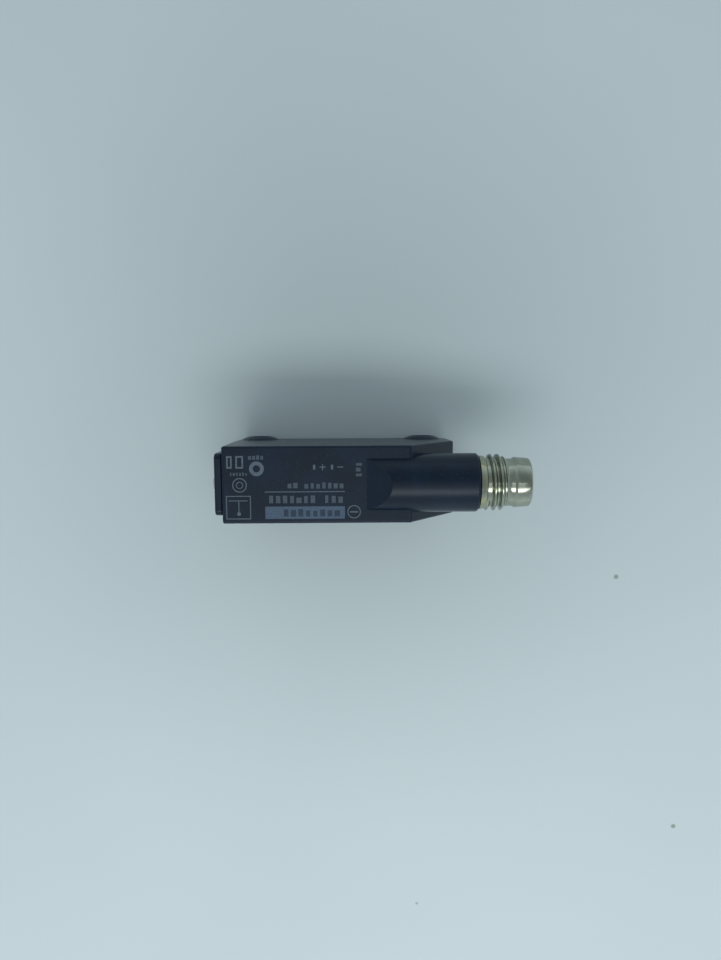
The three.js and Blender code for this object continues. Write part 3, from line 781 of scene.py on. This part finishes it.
def contact_carrier():
    bore = SLEEVE_BORE_R - 0.1
    face = CARRIER_FACE_X
    rim = [(bore, 31.6), *corner(bore, face, 0.12, 3), (2.3, face), (2.26, face - 0.12), (2.1, face - 0.12)]
    profile = [(0, 29), (3.4, 29), (3.4, 30.5), (2.5, 30.5), (2.5, 31.6), *rim, (2.05, face), (0, face)]
    body = turned("contact_carrier_insert", profile)
    key = prism("tool", rectangle(-0.45, 0.45, AXIS[1] - 2.7, AXIS[1] - 2.25, 0.1, 3), "x", face - 0.4, 41.1)
    carve(body, "UNION", key)
    hole_r, mouth_r = PIN_R + 0.1, PIN_R + 0.26
    lead_in = [(0, 28), (hole_r, 28), (hole_r, face - 0.14), (mouth_r, face), (mouth_r, 37)]
    holes = [
        turned("tool", [*lead_in, (0, 37)], centre=(y, AXIS[1] + z), segments=40) for y, z in PIN_PLACES
    ]
    carve(body, "DIFFERENCE", *holes)
    return keep(body, "carrier_plastic", "contact_carrier")


def set_of_pins(tree, points, given):
    """One pin on every point."""
    pin = tree.node("GeometryNodeObjectInfo", {"transform_space": "ORIGINAL"}, {0: given["Pin"]}, "Geometry")
    return tree.node("GeometryNodeInstanceOnPoints", None, {0: points, "Instance": pin})


def contact_pins():
    tip = PIN_TIP_X
    shank = [(0, 27.2), (0.3, 27.2), (0.3, 28.6), (PIN_R, 28.7), (PIN_R, tip - 0.45)]
    point = [(0.47, tip - 0.3), (0.4, tip - 0.14), (0.28, tip - 0.04), (0.14, tip), (0, tip)]
    pin = turned("contact_pin", [*shank, *point], centre=(0, 0), segments=40)
    mesh = bpy.data.meshes.new("contact_pins")
    mesh.from_pydata([(0, y, AXIS[1] + z) for y, z in PIN_PLACES], [], [])
    pins = bpy.data.objects.new("contact_pins", mesh)
    scene.collection.objects.link(pins)
    inputs = {
        "Pin": ("NodeSocketObject", pin),
        "Material": ("NodeSocketMaterial", FINISHES["gold_plated_contact"]),
    }
    grow(pins, "pin_pattern", inputs, set_of_pins)
    bpy.data.objects.remove(pin)
    nodes = [f"contact_pin_{i + 1}" for i in range(len(PIN_PLACES))]
    return keep(pins, "gold_plated_contact", *nodes)


# ------------------------------------------------------------------ the pieces
housing()
front_window()
end_cap()
light_pipe()
connector_sleeve()
contact_carrier()
contact_pins()

slots = {part["node"]: part["material_slot"] for part in frame["record"]["subparts"]}
for name, node in frame["nodes"].items():
    node.data.materials.clear()
    node.data.materials.append(FINISHES[slots[name]])


# ------------------------------------------------------------------ floor, light and camera
def floor():
    f = Finish("pale_table_top")
    cloud = f.noise(120.0, 3.0)
    fine = f.noise(1.2, 3.0)
    base = f.mix(cloud.ramp(0.3, 0.7), paint("dbe3e4"), paint("e2e9ea"))
    # Painted shade: the table top is darkened round a point near the object, standing in for the shade of the
    # camera held above it.
    away_x, away_y = f.x - 20.0, f.y - 12.0
    away = (away_x * away_x + away_y * away_y).through("SQRT")
    base = f.mix(away.ramp(0.0, 80.0, 0.27, 0.0), base, paint("728a8b"))
    base = f.mix(f.specks(11.0, 0.06, 3.0, 0.035) * 0.6, base, paint("6d6f5c"))
    rough = 0.6 + 0.1 * fine
    grain = f.bump(fine, 0.01)
    material = f.surface(
        {"Base Color": base, "Roughness": rough, "Normal": grain, "Specular IOR Level": 0.15}
    )
    half = 1500.0
    mesh = bpy.data.meshes.new("table_top")
    corners = [(-half, -half, 0), (half, -half, 0), (half, half, 0), (-half, half, 0)]
    mesh.from_pydata(corners, [], [(0, 1, 2, 3)])
    mesh.transform(Matrix.Scale(MM, 4))
    mesh.materials.append(material)
    table = bpy.data.objects.new("table_top", mesh)
    scene.collection.objects.link(table)
    table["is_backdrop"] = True


def lamp(name, away, lean, size, power, colour):
    """An area lamp over the object, leaning towards -Y by this many degrees."""
    data = bpy.data.lights.new(name, "AREA")
    data.shape = "RECTANGLE"
    data.size, data.size_y = size
    data.energy = power
    data.color = colour
    piece = bpy.data.objects.new(name, data)
    angle = math.radians(lean)
    piece.location = (0.0, -away * math.sin(angle), 0.02 + away * math.cos(angle))
    piece.rotation_euler = (-angle, 0, 0)
    piece.visible_camera = False
    scene.collection.objects.link(piece)


def light():
    lamp("low_tube", 0.7, 35.0, (0.5, 0.5), 3.6, (0.93, 0.99, 1.0))
    lamp("high_tube", 0.7, 0.8, (0.5, 0.025), 0.09, (0.95, 0.99, 1.0))
    lamp("ceiling_glow", 0.75, 14, (0.5, 0.3), 0.2, (0.95, 0.99, 1.0))
    world = bpy.data.worlds.new("pale_room")
    world.use_nodes = True
    room = Tree(world.node_tree)
    room.tree.nodes.clear()
    way = room.node("ShaderNodeTexCoord", output="Generated")
    up = room.node("ShaderNodeSeparateXYZ", None, {0: way}, 2)
    glow = up.ramp(0.0, 0.9, 0.85, 0.31)
    sky = room.node("ShaderNodeBackground", None, {"Color": (0.80, 0.96, 1.04, 1), "Strength": glow})
    room.node("ShaderNodeOutputWorld", None, {"Surface": sky})
    scene.world = world
    scene.view_settings.view_transform = "Standard"


def camera():
    data = bpy.data.cameras.new("camera")
    data.sensor_width = 36
    data.lens = 27.95
    data.clip_start, data.clip_end = 0.005, 10
    piece = bpy.data.objects.new("camera", data)
    turn = Matrix.Rotation(0.0062, 3, "Z") @ Matrix.Rotation(0.0057, 3, "Y") @ Matrix.Rotation(0.1082, 3, "X")
    place = TO_METRES @ Vector((18.378, 11.617, 121.099))
    piece.matrix_world = Matrix.Translation(place) @ turn.transposed().to_4x4()
    scene.collection.objects.link(piece)
    scene.camera = piece


floor()
light()
camera()

visual_box = [list(corner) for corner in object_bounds()]
{"cad_box": cad_box, "visual_box": visual_box}
